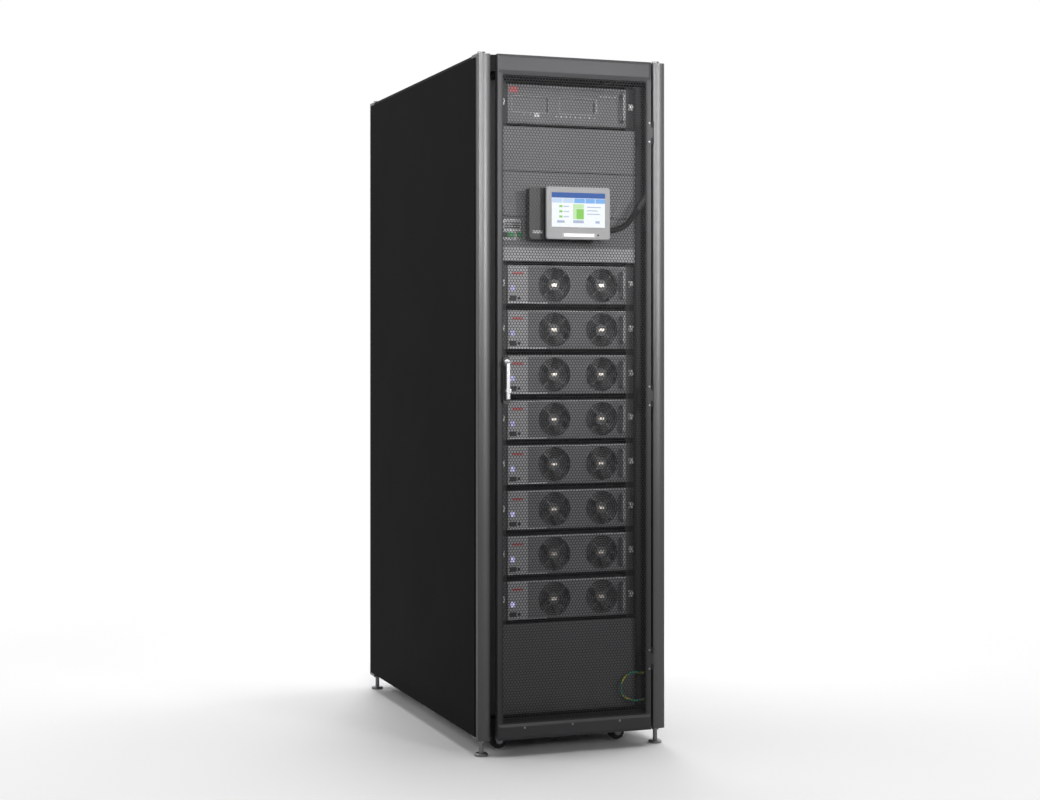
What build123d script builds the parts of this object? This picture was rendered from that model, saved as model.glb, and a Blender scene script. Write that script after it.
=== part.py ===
import os
from math import radians, tan

from build123d import *

os.makedirs("parts", exist_ok=True)

# Cabinet envelope, in millimetres. X is to the right, -Y is the front, Z is up from the floor.
cabinet_width = 600.0
cabinet_depth = 1200.0
frame_height = 2000.0
foot_height = 48.0

# Corner posts
post_width = 40.0
post_depth = 60.0
post_crown = 4.0
post_corner_radius = 5.0
roof_bolt_diameter = 25.0
roof_bolt_height = 8.0

# Skin panels
side_panel_thickness = 3.0
side_panel_front_gap = 23.0
side_panel_end_gap = 10.0
roof_thickness = 4.0
roof_drop = 1.0
floor_thickness = 4.0
sheet_gap = 1.0
cable_entry_width = 300.0
cable_entry_depth = 120.0
cable_entry_setback = 130.0

# Frame rails
rail_setback = 8.0
rail_depth = 32.0
rail_side_margin = 4.0
top_rail_height = 44.0
base_rail_height = 52.0
base_rail_lift = 8.0
rail_wall = 4.0

# Doors
door_gap = 14.0
door_end_gap = 2.0
door_proud = 20.0
door_thickness = 24.0
door_top_rail = 54.0
door_bottom_rail = 46.0
door_stile = 12.0
door_wall = 3.0
door_face_sheet = 2.5
door_stile_setback = 2.0
door_rail_bevel = 8.0
mesh_setback = 2.0
mesh_thickness = 1.5
mesh_border = 26.0
mesh_bar = 8.0
mesh_columns = 4
mesh_rows = 12

# Hinges
hinge_axis_gap = 7.0
hinge_axis_setback = 10.0
hinge_pin_diameter = 6.0
hinge_knuckle_diameter = 11.0
hinge_knuckle_height = 30.0
hinge_bracket_height = 18.0
hinge_end_distance = 210.0
hinge_leaf_length = 40.0
hinge_play = 0.3
running_clearance = 0.05

# Swing handle
handle_edge_distance = 25.0
handle_rise = 99.0
handle_base_width = 22.0
handle_base_length = 138.0
handle_base_head = 18.0
handle_base_thickness = 8.0
handle_swivel_diameter = 22.0
handle_swivel_thickness = 7.0
handle_shaft_diameter = 10.0
handle_shaft_end_gap = 0.5
handle_ear_thickness = 4.0
handle_ear_reach = 11.0
handle_ear_radius = 5.0
handle_pin_diameter = 4.0
handle_pin_reach = 6.0
handle_lever_width = 13.0
handle_lever_length = 106.0
handle_lever_thickness = 9.0
handle_lever_bevel = 2.0
handle_lever_tip_width = 18.0
handle_lock_diameter = 15.0
handle_lock_distance = 80.0
handle_lock_proud = 3.0

# Touch display on the door
display_width = 202.0
display_height = 154.0
display_drop = 406.0
display_proud = 22.0
display_corner_radius = 8.0
display_bezel_depth = 2.0
display_plate_depth = 8.0
display_plate_bevel = 2.0
display_body_inset = 4.0
screen_width = 168.0
screen_height = 101.0
screen_raise = 10.0
screen_thickness = 1.6
display_neck_width = 150.0
display_neck_height = 100.0
display_neck_clearance = 1.0
display_box_width = 236.0
display_box_height = 150.0
display_box_depth = 30.0
display_box_offset = -26.0
display_cable_diameter = 18.0
display_cable_setback = 11.0
display_cable_gland_diameter = 21.0
display_cable_drop = 45.0
display_cable_rise = 62.0
display_cable_gland_length = 9.0

# Equipment space
rack_units = 42
equipment_top_gap = 20.1
panel_setback = 38.0
panel_side_gap = 42.0
panel_gap = 2.0
panel_wall = 2.0
panel_return_depth = 17.0
mounting_rail_thickness = 2.5
mounting_rail_return = 40.0
mounting_rail_inner_gap = 1.0

# Power modules
module_count = 8
module_units = 3
module_ear_width = 25.0
module_gap = 18.35
module_depth = 640.0
module_ear_thickness = 3.0
module_proud = 4.0
module_edge_bevel = 1.5
module_cage_gap = 3.0
cage_wall = 3.0
cage_rear_room = 16.0
shelf_thickness = 2.0
rear_cover_thickness = 2.5
module_label_width = 58.0
module_label_recess = 1.0
module_label_margin = 6.0
fan_width_share = 0.13
fan_height_share = 0.44
fan_depth = 30.0
fan_left_share = 0.287
fan_right_share = 0.8
fan_hub_share = 0.38
fan_hub_length = 24.0
fan_blade_count = 5
fan_blade_gap = 3.0
fan_blade_thickness = 2.0
fan_blade_angle = 35.0
fan_blade_chord = 24.0
guard_overlap = 4.0
guard_bar = 2.4
guard_thickness = 2.0
guard_ring_count = 1
guard_sides = 8
module_handle_edge_distance = 16.0
module_handle_margin = 15.5
module_handle_reach = 22.0
module_handle_bar = 8.0

# Monitoring unit, bypass module and blank panels
bypass_window_share = 0.295
bypass_window_height = 46.0
bypass_window_depth = 6.0
bypass_spacing_share = 0.395
bypass_shift_share = -0.116
bypass_slot_height = 7.0
bypass_slot_depth = 4.0
bypass_slot_margin = 9.0
monitor_card_width = 62.0
monitor_card_units = 1.44
monitor_card_recess = 10.0
monitor_card_margin = 6.0
monitor_band_recess = 3.0
lower_blank_units = 6
blank_panel_units = 3

# Feet and casters
foot_disc_diameter = 40.0
foot_disc_height = 9.0
foot_stem_diameter = 14.0
foot_nut_diameter = 24.0
foot_nut_height = 8.0
caster_rail_distance = 71.0
caster_setback = 100.0
caster_trail = 12.0
wheel_diameter = 50.0
wheel_width = 20.0
wheel_lift = 3.0
wheel_edge_bevel = 3.0
wheel_hub_diameter = 18.0
wheel_hub_play = 0.3
wheel_clearance = 6.0
fork_inside = 30.0
fork_wall = 3.5
fork_cheek_diameter = 22.0
fork_crown_length = 40.0
axle_diameter = 8.0
axle_head_diameter = 13.0
axle_head_length = 3.0
kingpin_diameter = 12.0
kingpin_end_gap = 0.5
swivel_gap = 0.4
caster_plate_size = 62.0
caster_plate_thickness = 5.0
caster_bearer_thickness = 4.0
caster_bearer_depth = 80.0

# Bonding wire between the right post and the door
bonding_wire_diameter = 6.0
bonding_lug_diameter = 13.0
bonding_lug_length = 4.0
bonding_lug_rise = 164.0
bonding_loop_reach = 98.0
bonding_loop_drop = 76.0
bonding_end_setback = 6.0

# Sides of small and large round pieces, of cables and of wires
small_round_sides = 8
large_round_sides = 16
cable_sides = 6
wire_sides = 4

# Planes and levels that follow from the sizes
post_outer = cabinet_width / 2 - side_panel_thickness
post_inner = post_outer - post_width
front_plane = -cabinet_depth / 2
post_back = front_plane + post_depth
frame_bottom = foot_height
frame_top = foot_height + frame_height
door_half = post_inner - door_gap
door_front = front_plane - door_proud
door_back = door_front + door_thickness
door_bottom = frame_bottom + door_end_gap
door_top = frame_top - door_end_gap
opening_half = door_half - door_stile
opening_bottom = door_bottom + door_bottom_rail
opening_top = door_top - door_top_rail
mesh_front = door_front + mesh_setback
mesh_back = mesh_front + mesh_thickness
rail_front = door_back + rail_setback
rail_back = rail_front + rail_depth
roof_top = frame_top - roof_drop
roof_bottom = roof_top - roof_thickness
base_bottom = frame_bottom + base_rail_lift
base_top = base_bottom + base_rail_height
floor_top = base_top + floor_thickness
top_rail_bottom = roof_bottom - top_rail_height
equipment_top = top_rail_bottom - equipment_top_gap
rack_step = (equipment_top - floor_top) / rack_units
panel_width = 2 * (post_inner - panel_side_gap)
module_width = panel_width - 2 * module_ear_width
module_pitch = module_units * rack_step
module_height = module_pitch - module_gap
display_center_height = opening_top - display_drop
handle_pivot_height = (door_bottom + door_top) / 2 + handle_rise
panel_front = front_plane + panel_setback
mounting_face = panel_front + panel_return_depth
mounting_back = mounting_face + mounting_rail_thickness
ear_face = mounting_face - module_ear_thickness
module_face = ear_face - module_proud
module_rear = module_face + module_depth
cage_inner = module_width / 2 + module_cage_gap
cage_rear = module_rear + cage_rear_room


def block(x_low, x_high, y_low, y_high, z_low, z_high):
    middle = Pos((x_low + x_high) / 2, (y_low + y_high) / 2, (z_low + z_high) / 2)
    return middle * Box(x_high - x_low, y_high - y_low, z_high - z_low)


# A round bar along Z, or one with flat sides where nothing turns on it
def round_bar(diameter, length, sides):
    if sides:
        return extrude(RegularPolygon(diameter / 2, sides), amount=length / 2, both=True)
    return Cylinder(diameter / 2, length)


def upright_disc(diameter, z_low, z_high, x=0.0, y=0.0, sides=0):
    return Pos(x, y, (z_low + z_high) / 2) * round_bar(diameter, z_high - z_low, sides)


def facing_disc(diameter, y_low, y_high, x=0.0, z=0.0, sides=0):
    return Pos(x, (y_low + y_high) / 2, z) * (Rot(90, 0, 0) * round_bar(diameter, y_high - y_low, sides))


def crosswise_disc(diameter, x_low, x_high, y=0.0, z=0.0, sides=0):
    return Pos((x_low + x_high) / 2, y, z) * (Rot(0, 90, 0) * round_bar(diameter, x_high - x_low, sides))


def left_and_right(shape):
    return [shape, mirror(shape, Plane.YZ)]


def front_and_rear(shape):
    return [shape, shape.rotate(Axis.Z, 180)]


def save(name, *pieces):
    solids = [solid for piece in pieces for solid in piece.solids()]
    export_step(solids[0] if len(solids) == 1 else Compound(solids), f"parts/{name}.step")
    print(name, len(solids), round(sum(solid.volume for solid in solids)))


# Corner posts, crowned towards the front
def corner_post():
    half = post_width / 2
    crown = -post_depth / 2
    shoulder = crown + post_crown
    outline = Polyline((half, shoulder), (half, -crown), (-half, -crown), (-half, shoulder))
    section = make_face(outline + ThreePointArc((half, shoulder), (0, crown), (-half, shoulder)))
    shoulders = section.vertices().sort_by(Axis.Y)[:2]
    return extrude(fillet(shoulders, post_corner_radius), amount=frame_height)


post_center = (post_outer - post_width / 2, front_plane + post_depth / 2)
right_post = Pos(post_center[0], post_center[1], frame_bottom) * corner_post()
front_posts = left_and_right(right_post)
save("front_posts", *front_posts)
save("rear_posts", *[post.rotate(Axis.Z, 180) for post in front_posts])
roof_bolts = [
    upright_disc(roof_bolt_diameter, frame_top, frame_top + roof_bolt_height, x, y, small_round_sides)
    for x in (-post_center[0], post_center[0])
    for y in (-post_center[1], post_center[1])
]
save("roof_bolts", *roof_bolts)

# Top and base rails between the posts, as channels open towards the inside
side_rail_outer = post_outer - rail_side_margin
side_rail_inner = side_rail_outer - rail_depth


def cross_rail(z_low, z_high):
    bar = block(-post_inner, post_inner, rail_front, rail_back, z_low, z_high)
    hollow = block(-post_inner, post_inner, rail_front + rail_wall, rail_back,
                   z_low + rail_wall, z_high - rail_wall)
    return bar - hollow


def side_rail(z_low, z_high):
    bar = block(side_rail_inner, side_rail_outer, post_back, -post_back, z_low, z_high)
    hollow = block(side_rail_inner, side_rail_outer - rail_wall, post_back, -post_back,
                   z_low + rail_wall, z_high - rail_wall)
    return bar - hollow


save("top_cross_rails", *front_and_rear(cross_rail(top_rail_bottom, roof_bottom)))
save("top_side_rails", *left_and_right(side_rail(top_rail_bottom, roof_bottom)))
save("base_cross_rails", *front_and_rear(cross_rail(base_bottom, base_top)))
save("base_side_rails", *left_and_right(side_rail(base_bottom, base_top)))


# Roof and floor sheets, notched round the posts and cut for the cables at the rear
def notched_sheet(z_low, z_high):
    sheet = block(-side_rail_outer, side_rail_outer, rail_front, -rail_front, z_low, z_high)
    notch = block(post_inner - sheet_gap, side_rail_outer + sheet_gap,
                  rail_front - sheet_gap, post_back + sheet_gap, z_low, z_high)
    for corner in left_and_right(notch):
        for cut in front_and_rear(corner):
            sheet -= cut
    entry_rear = -rail_back - cable_entry_setback
    entry = block(-cable_entry_width / 2, cable_entry_width / 2,
                  entry_rear - cable_entry_depth, entry_rear, z_low, z_high)
    return sheet - entry


save("roof_panel", notched_sheet(roof_bottom, roof_top))
save("floor_panel", notched_sheet(base_top, floor_top))

# Side panels on the outer faces of the posts
side_panel = block(post_outer, post_outer + side_panel_thickness,
                   front_plane + side_panel_front_gap, -front_plane - side_panel_front_gap,
                   frame_bottom + side_panel_end_gap, frame_top - side_panel_end_gap)
save("right_side_panel", side_panel)
save("left_side_panel", mirror(side_panel, Plane.YZ))

# Mounting rails for the equipment, standing on the floor sheet against the front posts
rail_inner_edge = module_width / 2 + mounting_rail_inner_gap
mounting_rail = block(rail_inner_edge, post_inner, mounting_face, mounting_back, floor_top, equipment_top)
mounting_rail += block(post_inner - mounting_rail_thickness, post_inner, mounting_face,
                       mounting_face + mounting_rail_return, floor_top, equipment_top)
save("mounting_rails", *left_and_right(mounting_rail))


def unit_level(unit):
    return floor_top + unit * rack_step


# Module cage: side walls, a shelf under each module and a rear cover
cage_side = block(cage_inner, cage_inner + cage_wall, mounting_back, cage_rear, floor_top, equipment_top)
save("module_cage_sides", *left_and_right(cage_side))
cage_half = cage_inner + cage_wall
rear_cover = block(-cage_half, cage_half, cage_rear, cage_rear + rear_cover_thickness,
                   floor_top, equipment_top)
save("rear_cover_panel", rear_cover)
module_margin = (module_pitch - module_height) / 2
first_module_unit = lower_blank_units
monitor_unit_level = first_module_unit + module_count * module_units
middle_blank_level = monitor_unit_level + module_units
upper_blank_level = middle_blank_level + blank_panel_units
bypass_level = upper_blank_level + blank_panel_units
module_levels = [unit_level(first_module_unit + index * module_units) + module_margin
                 for index in range(module_count)]
bypass_bottom = unit_level(bypass_level) + module_margin
shelves = [
    block(-cage_inner, cage_inner, mounting_back, cage_rear, level - shelf_thickness, level)
    for level in module_levels + [bypass_bottom]
]
save("module_shelves", *shelves)


# One withdrawable module: a long housing with an eared front plate
def module_housing(level):
    body = block(-module_width / 2, module_width / 2, module_face, module_rear, level, level + module_height)
    body = chamfer(body.faces().sort_by(Axis.Y)[0].edges(), module_edge_bevel)
    plate = block(-panel_width / 2, panel_width / 2, ear_face, mounting_face, level, level + module_height)
    return body + plate


label_left = -module_width / 2 + module_label_margin
label_right = label_left + module_label_width
handle_spot = module_width / 2 - module_handle_edge_distance
fan_room = handle_spot - module_handle_bar / 2 - label_right
fan_offsets = [label_right + share * fan_room for share in (fan_left_share, fan_right_share)]
fan_diameter = fan_width_share * module_width + fan_height_share * module_height
fan_hub_diameter = fan_hub_share * fan_diameter
guard_diameter = fan_diameter + 2 * guard_overlap


def power_module(level):
    housing = module_housing(level)
    middle = level + module_height / 2
    for offset in fan_offsets:
        housing -= facing_disc(fan_diameter, module_face, module_face + fan_depth, offset, middle,
                               large_round_sides)
    housing -= block(label_left, label_right,
                     module_face, module_face + module_label_recess,
                     level + module_label_margin, level + module_height - module_label_margin)
    return housing


for index, level in enumerate(module_levels):
    save(f"power_module_{module_count - index}", power_module(level))


# Fan guard: rings of few sides carried by a cross of flat bars
def fan_guard(x, z):
    ring_outer = guard_diameter / 2
    shape = Sketch()
    for ring in range(guard_ring_count):
        radius = ring_outer * (1 - ring / (guard_ring_count + 1))
        shape += RegularPolygon(radius, guard_sides) - RegularPolygon(radius - guard_bar, guard_sides)
    shape += RegularPolygon(ring_outer / (guard_ring_count + 2), guard_sides)
    reach = (ring_outer - guard_bar) * 2
    arms = Rectangle(reach, guard_bar) + Rectangle(guard_bar, reach)
    shape += Rot(0, 0, 45) * arms
    plate = extrude(shape, amount=guard_thickness)
    return Pos(x, module_face, z) * (Rot(90, 0, 0) * plate)


# Fan rotor: a hub on the floor of the recess with slanted blades
def fan_rotor(x, z):
    floor = module_face + fan_depth
    hub = facing_disc(fan_hub_diameter, floor - fan_hub_length, floor, x, z, small_round_sides)
    reach = fan_diameter / 2 - fan_blade_gap
    root = fan_hub_diameter / 2 - fan_blade_thickness
    middle = floor - fan_hub_length / 2
    blade = Box(reach - root, fan_blade_thickness, fan_blade_chord)
    blade = Pos((root + reach) / 2, 0, 0) * (Rot(fan_blade_angle, 0, 0) * blade)
    for index in range(fan_blade_count):
        turned = Rot(0, index * 360 / fan_blade_count, 0) * (Rot(90, 0, 0) * blade)
        hub += Pos(x, middle, z) * turned
    return hub


fan_spots = [(offset, level + module_height / 2)
             for level in module_levels for offset in fan_offsets]
save("module_fan_guards", *[fan_guard(x, z) for x, z in fan_spots])
save("module_fan_rotors", *[fan_rotor(x, z) for x, z in fan_spots])


# Upright pull handles at the right of each module
def pull_handle(level):
    low = level + module_handle_margin
    high = level + module_height - module_handle_margin
    half = module_handle_bar / 2
    outline = block(handle_spot - half, handle_spot + half,
                    module_face - module_handle_reach, module_face, low, high)
    finger_room = block(handle_spot - half, handle_spot + half,
                        module_face - module_handle_reach + module_handle_bar, module_face,
                        low + module_handle_bar, high - module_handle_bar)
    front_edges = outline.faces().sort_by(Axis.Y)[0].edges().filter_by(Axis.X)
    return chamfer(front_edges, module_handle_bar * 0.6) - finger_room


save("module_handles", *[pull_handle(level) for level in module_levels + [bypass_bottom]])

# Bypass module with two framed windows below a long slot
bypass = module_housing(bypass_bottom)
bypass_middle = bypass_bottom + module_height / 2
bypass_window_width = bypass_window_share * module_width
for side in (-1, 1):
    x = (bypass_shift_share + side * bypass_spacing_share / 2) * module_width
    bypass -= block(x - bypass_window_width / 2, x + bypass_window_width / 2,
                    module_face, module_face + bypass_window_depth,
                    bypass_middle - bypass_window_height / 2, bypass_middle + bypass_window_height / 2)
bypass_slot_top = bypass_bottom + module_height - bypass_slot_margin
bypass -= block(-module_width / 2 + bypass_slot_margin, module_width / 2 - bypass_slot_margin,
                module_face, module_face + bypass_slot_depth,
                bypass_slot_top - bypass_slot_height, bypass_slot_top)
save("bypass_module", bypass)


# Pan-shaped front panels, closed towards the front
def pan_panel(unit, units):
    low = unit_level(unit) + panel_gap / 2
    high = unit_level(unit + units) - panel_gap / 2
    half = panel_width / 2
    pan = block(-half, half, panel_front, mounting_face, low, high)
    return pan - block(-half + panel_wall, half - panel_wall, panel_front + panel_wall, mounting_face,
                       low + panel_wall, high - panel_wall)


save("lower_blank_panel", pan_panel(0, lower_blank_units))
save("middle_blank_panel", pan_panel(middle_blank_level, blank_panel_units))
save("upper_blank_panel", pan_panel(upper_blank_level, blank_panel_units))

# Monitoring unit: a closed box with a card recess over a set-back lower band
monitor_low = unit_level(monitor_unit_level) + panel_gap / 2
monitor_high = unit_level(monitor_unit_level + module_units) - panel_gap / 2
monitor = block(-panel_width / 2, panel_width / 2, panel_front, mounting_face, monitor_low, monitor_high)
monitor -= block(-panel_width / 2, panel_width / 2, panel_front, panel_front + monitor_band_recess,
                 monitor_low, monitor_low + rack_step)
card_left = -panel_width / 2 + monitor_card_margin
card_top = monitor_high - monitor_card_margin
monitor -= block(card_left, card_left + monitor_card_width, panel_front, panel_front + monitor_card_recess,
                 card_top - monitor_card_units * rack_step, card_top)
save("monitor_unit", monitor)

# Door: a pan frame round a mesh sheet, with hinge knuckles on its right edge
hinge_x = door_half + hinge_axis_gap
hinge_y = door_front + hinge_axis_setback
hinge_levels = [door_bottom + hinge_end_distance, (door_bottom + door_top) / 2, door_top - hinge_end_distance]


def door_frame():
    stile_front = door_front + door_stile_setback
    leaf = block(-door_half, door_half, stile_front, door_back, door_bottom, door_top)
    leaf -= block(-opening_half, opening_half, stile_front, door_back, opening_bottom, opening_top)
    for low, high in ((door_bottom, opening_bottom), (opening_top, door_top)):
        cover = block(-door_half, door_half, door_front, door_back, low, high)
        face = cover.faces().sort_by(Axis.Y)[0]
        leaf += chamfer(face.edges(), door_rail_bevel, door_stile_setback, reference=face)
        leaf -= block(-door_half + door_wall, door_half - door_wall, door_front + door_face_sheet, door_back,
                      low + door_wall, high - door_wall)
    for level in hinge_levels:
        low = level - hinge_knuckle_height / 2
        high = level + hinge_knuckle_height / 2
        radius = hinge_knuckle_diameter / 2
        leaf += upright_disc(hinge_knuckle_diameter, low, high, hinge_x, hinge_y, small_round_sides)
        leaf += block(door_half - door_wall, hinge_x, hinge_y - radius, hinge_y, low, high)
    for level in hinge_levels:
        leaf -= upright_disc(hinge_pin_diameter + 2 * running_clearance,
                             level - hinge_knuckle_height, level + hinge_knuckle_height, hinge_x, hinge_y)
    return leaf


def hinge_bracket(level):
    radius = hinge_knuckle_diameter / 2
    half = hinge_knuckle_height / 2 + hinge_play
    bracket = upright_disc(hinge_pin_diameter, level - half, level + half, hinge_x, hinge_y)
    leaf_back = front_plane + hinge_leaf_length
    for low in (level - half - hinge_bracket_height, level + half):
        high = low + hinge_bracket_height
        bracket += upright_disc(hinge_knuckle_diameter, low, high, hinge_x, hinge_y, small_round_sides)
        bracket += block(hinge_x, post_inner, hinge_y + radius / 2, leaf_back, low, high)
    return bracket


plain_door = door_frame()
brackets = [hinge_bracket(level) for level in hinge_levels]
save("hinge_brackets", *[turned for bracket in brackets for turned in front_and_rear(bracket)])
save("rear_door_frame", plain_door.rotate(Axis.Z, 180))


# Door sheet as openwork: a plain border and a grid of bars, closed where a fitting covers it
def mesh_openings():
    column_step = (2 * (opening_half - mesh_border) + mesh_bar) / mesh_columns
    row_step = (opening_top - opening_bottom - 2 * mesh_border + mesh_bar) / mesh_rows
    for column in range(mesh_columns):
        for row in range(mesh_rows):
            left = -opening_half + mesh_border + column * column_step
            low = opening_bottom + mesh_border + row * row_step
            yield left, left + column_step - mesh_bar, low, low + row_step - mesh_bar


def mesh_sheet(closed_half_width, closed_low, closed_high):
    sheet = block(-opening_half, opening_half, mesh_front, mesh_back, opening_bottom, opening_top)
    holes = []
    for left, right, low, high in mesh_openings():
        beside = right < -closed_half_width or left > closed_half_width
        if beside or high < closed_low or low > closed_high:
            holes.append(block(left, right, mesh_front, mesh_back, low, high))
    return sheet - holes


display_neck = block(-display_neck_width / 2, display_neck_width / 2, mesh_front, mesh_back,
                     display_center_height - display_neck_height / 2,
                     display_center_height + display_neck_height / 2)
neck_half_width = display_neck_width / 2 + display_neck_clearance
neck_half_height = display_neck_height / 2 + display_neck_clearance
neck_hole = block(-neck_half_width, neck_half_width, mesh_front, mesh_back,
                  display_center_height - neck_half_height, display_center_height + neck_half_height)
display_reach = display_box_width / 2 - display_box_offset
front_sheet = mesh_sheet(display_reach, display_center_height - display_height / 2,
                         display_center_height + display_height / 2)
save("front_door_mesh", front_sheet - neck_hole)
save("rear_door_mesh", mesh_sheet(0.0, door_bottom, door_bottom).rotate(Axis.Z, 180))

# Touch display: bezel in front of the mesh, screen plate, and a box behind the mesh
display_front = door_front - display_proud
half_width = display_width / 2
half_height = display_height / 2
plate_back = display_front + display_plate_depth
bezel = block(-half_width, half_width, display_front, plate_back,
              display_center_height - half_height, display_center_height + half_height)
bezel = fillet(bezel.edges().filter_by(Axis.Y), display_corner_radius)
bezel = chamfer(bezel.faces().sort_by(Axis.Y)[0].edges(), display_plate_bevel)
display_body = block(-half_width + display_body_inset, half_width - display_body_inset,
                     plate_back, mesh_front,
                     display_center_height - half_height + display_body_inset,
                     display_center_height + half_height - display_body_inset)
bezel += fillet(display_body.edges().filter_by(Axis.Y), display_corner_radius)
screen_middle = display_center_height + screen_raise
screen_low = screen_middle - screen_height / 2
screen_high = screen_middle + screen_height / 2
bezel -= block(-screen_width / 2, screen_width / 2, display_front, display_front + display_bezel_depth,
               screen_low, screen_high)
save("display_housing", bezel + display_neck)
save("display_screen", block(-screen_width / 2, screen_width / 2,
                             display_front + display_bezel_depth - screen_thickness,
                             display_front + display_bezel_depth, screen_low, screen_high))
box_left = display_box_offset - display_box_width / 2
box_right = display_box_offset + display_box_width / 2
rear_box = block(box_left, box_right, mesh_back, mesh_back + display_box_depth,
                 display_center_height - display_box_height / 2,
                 display_center_height + display_box_height / 2)
rear_box = fillet(rear_box.edges().filter_by(Axis.Y), display_corner_radius)
cable_y = mesh_back + display_cable_setback
cable_start_level = display_center_height - display_cable_drop
gland = crosswise_disc(display_cable_gland_diameter, box_right, box_right + display_cable_gland_length,
                       cable_y, cable_start_level, small_round_sides)
save("display_rear_box", rear_box + gland)


# A cable or wire along rounded runs
def rounded_tube(points, diameter, sides):
    vectors = [Vector(*point) for point in points]
    radii = []
    for before, corner, after in zip(vectors, vectors[1:], vectors[2:]):
        shorter = min((corner - before).length, (after - corner).length)
        turn = (corner - before).get_angle(after - corner)
        radii.append(0.45 * shorter / tan(radians(turn / 2)))
    path = FilletPolyline(*points, radius=radii)
    section = Plane(origin=path @ 0, z_dir=path % 0) * RegularPolygon(diameter / 2, sides)
    return sweep(section, path=path)


cable_exit = box_right + display_cable_gland_length
cable_room = opening_half - cable_exit
cable_points = [
    (cable_exit + along * cable_room, cable_y, cable_start_level + up * display_cable_rise)
    for along, up in ((0.0, 0.0), (0.254, 0.0), (0.485, 0.226), (0.654, 0.597), (0.785, 1.0))
]
save("display_cable", rounded_tube(cable_points, display_cable_diameter, cable_sides))

# Socket on the hinge stile that takes the end of the display cable
cable_end = Vector(*cable_points[-1])
cable_heading = (cable_end - Vector(*cable_points[-2])).normalized()
socket_reach = (opening_half - cable_end.X) / cable_heading.X + display_cable_gland_diameter
socket_outline = RegularPolygon(display_cable_gland_diameter / 2, small_round_sides)
socket = extrude(Plane(origin=cable_end, z_dir=cable_heading) * socket_outline, amount=socket_reach)
socket &= block(0, door_half - door_wall, door_front, door_back, opening_bottom, opening_top)
save("front_door_frame", plain_door + socket)

# Swing handle: base plate, swivel with two ears, and the lever between them
handle_x = -door_half + handle_edge_distance
base_front = mesh_front - handle_base_thickness
pivot_y = base_front - running_clearance - handle_swivel_thickness - handle_pin_reach
base_top_level = handle_pivot_height + handle_base_head
base_low_level = base_top_level - handle_base_length
handle_base = block(handle_x - handle_base_width / 2, handle_x + handle_base_width / 2,
                    base_front, mesh_front, base_low_level, base_top_level)
plain_base = chamfer(handle_base.edges().filter_by(Axis.Y), handle_base_width * 0.3)
handle_base = fillet(handle_base.edges().filter_by(Axis.Y), handle_base_width * 0.45)
handle_base -= facing_disc(handle_shaft_diameter + 2 * running_clearance, base_front, mesh_front,
                           handle_x, handle_pivot_height)
save("handle_base", handle_base)
swivel_back = base_front - running_clearance
swivel_face = swivel_back - handle_swivel_thickness
swivel = facing_disc(handle_swivel_diameter, swivel_face, swivel_back, handle_x, handle_pivot_height,
                     small_round_sides)
swivel += facing_disc(handle_shaft_diameter, swivel_back, mesh_front - handle_shaft_end_gap,
                      handle_x, handle_pivot_height)
ear_inner = handle_lever_width / 2 + hinge_play
swivel += crosswise_disc(handle_pin_diameter, handle_x - ear_inner, handle_x + ear_inner,
                         pivot_y, handle_pivot_height)
for side in (-1, 1):
    ear_low = handle_x + side * (ear_inner + handle_ear_thickness / 2) - handle_ear_thickness / 2
    ear_high = ear_low + handle_ear_thickness
    swivel += crosswise_disc(2 * handle_ear_radius, ear_low, ear_high, pivot_y, handle_pivot_height,
                             small_round_sides)
    swivel += block(ear_low, ear_high, pivot_y, swivel_face,
                    handle_pivot_height - handle_ear_radius, handle_pivot_height + handle_ear_radius)
swivel = swivel & (block(handle_x - handle_swivel_diameter, handle_x + handle_swivel_diameter,
                         pivot_y - handle_ear_reach, mesh_front,
                         handle_pivot_height - handle_swivel_diameter,
                         handle_pivot_height + handle_swivel_diameter))
save("handle_swivel", swivel)
lever_low = handle_pivot_height - handle_lever_length
lever = block(handle_x - handle_lever_width / 2, handle_x + handle_lever_width / 2,
              pivot_y - handle_lever_thickness / 2, pivot_y + handle_lever_thickness / 2,
              lever_low, handle_pivot_height)
lever_edges = lever.faces().sort_by(Axis.Y)[0].edges().sort_by(Axis.Z)[:-1]
lever = chamfer(lever_edges, handle_lever_bevel)
lever += crosswise_disc(handle_lever_thickness, handle_x - handle_lever_width / 2,
                        handle_x + handle_lever_width / 2, pivot_y, handle_pivot_height, small_round_sides)
lever -= crosswise_disc(handle_pin_diameter + 2 * running_clearance, handle_x - handle_lever_width,
                        handle_x + handle_lever_width, pivot_y, handle_pivot_height)
lock_level = handle_pivot_height - handle_lock_distance
lever += facing_disc(handle_lever_tip_width, pivot_y - handle_lever_thickness / 2,
                     pivot_y + handle_lever_thickness / 2, handle_x, lock_level, large_round_sides)
lever += facing_disc(handle_lock_diameter, pivot_y - handle_lever_thickness / 2 - handle_lock_proud,
                     pivot_y, handle_x, lock_level, large_round_sides)
save("handle_lever", lever)
plain_lever = block(handle_x - handle_lever_width / 2, handle_x + handle_lever_width / 2,
                    pivot_y - handle_lever_thickness / 2, base_front, lever_low,
                    handle_pivot_height + handle_lever_thickness / 2)
finger_gap = block(handle_x - handle_lever_width, handle_x + handle_lever_width,
                   pivot_y + handle_lever_thickness / 2, base_front, lever_low + handle_lever_thickness,
                   handle_pivot_height - handle_swivel_diameter / 2)
save("rear_door_handle", (plain_base + plain_lever - finger_gap).rotate(Axis.Z, 180))


# Levelling foot: a disc, a stem and a nut under each post
def levelling_foot(x, y):
    foot = upright_disc(foot_disc_diameter, 0, foot_disc_height, x, y, large_round_sides)
    foot = chamfer(foot.faces().sort_by(Axis.Z)[-1].edges(), foot_disc_height * 0.4)
    foot += upright_disc(foot_stem_diameter, foot_disc_height, foot_height, x, y, small_round_sides)
    return foot + upright_disc(foot_nut_diameter, foot_height - foot_nut_height, foot_height, x, y, 6)


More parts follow.
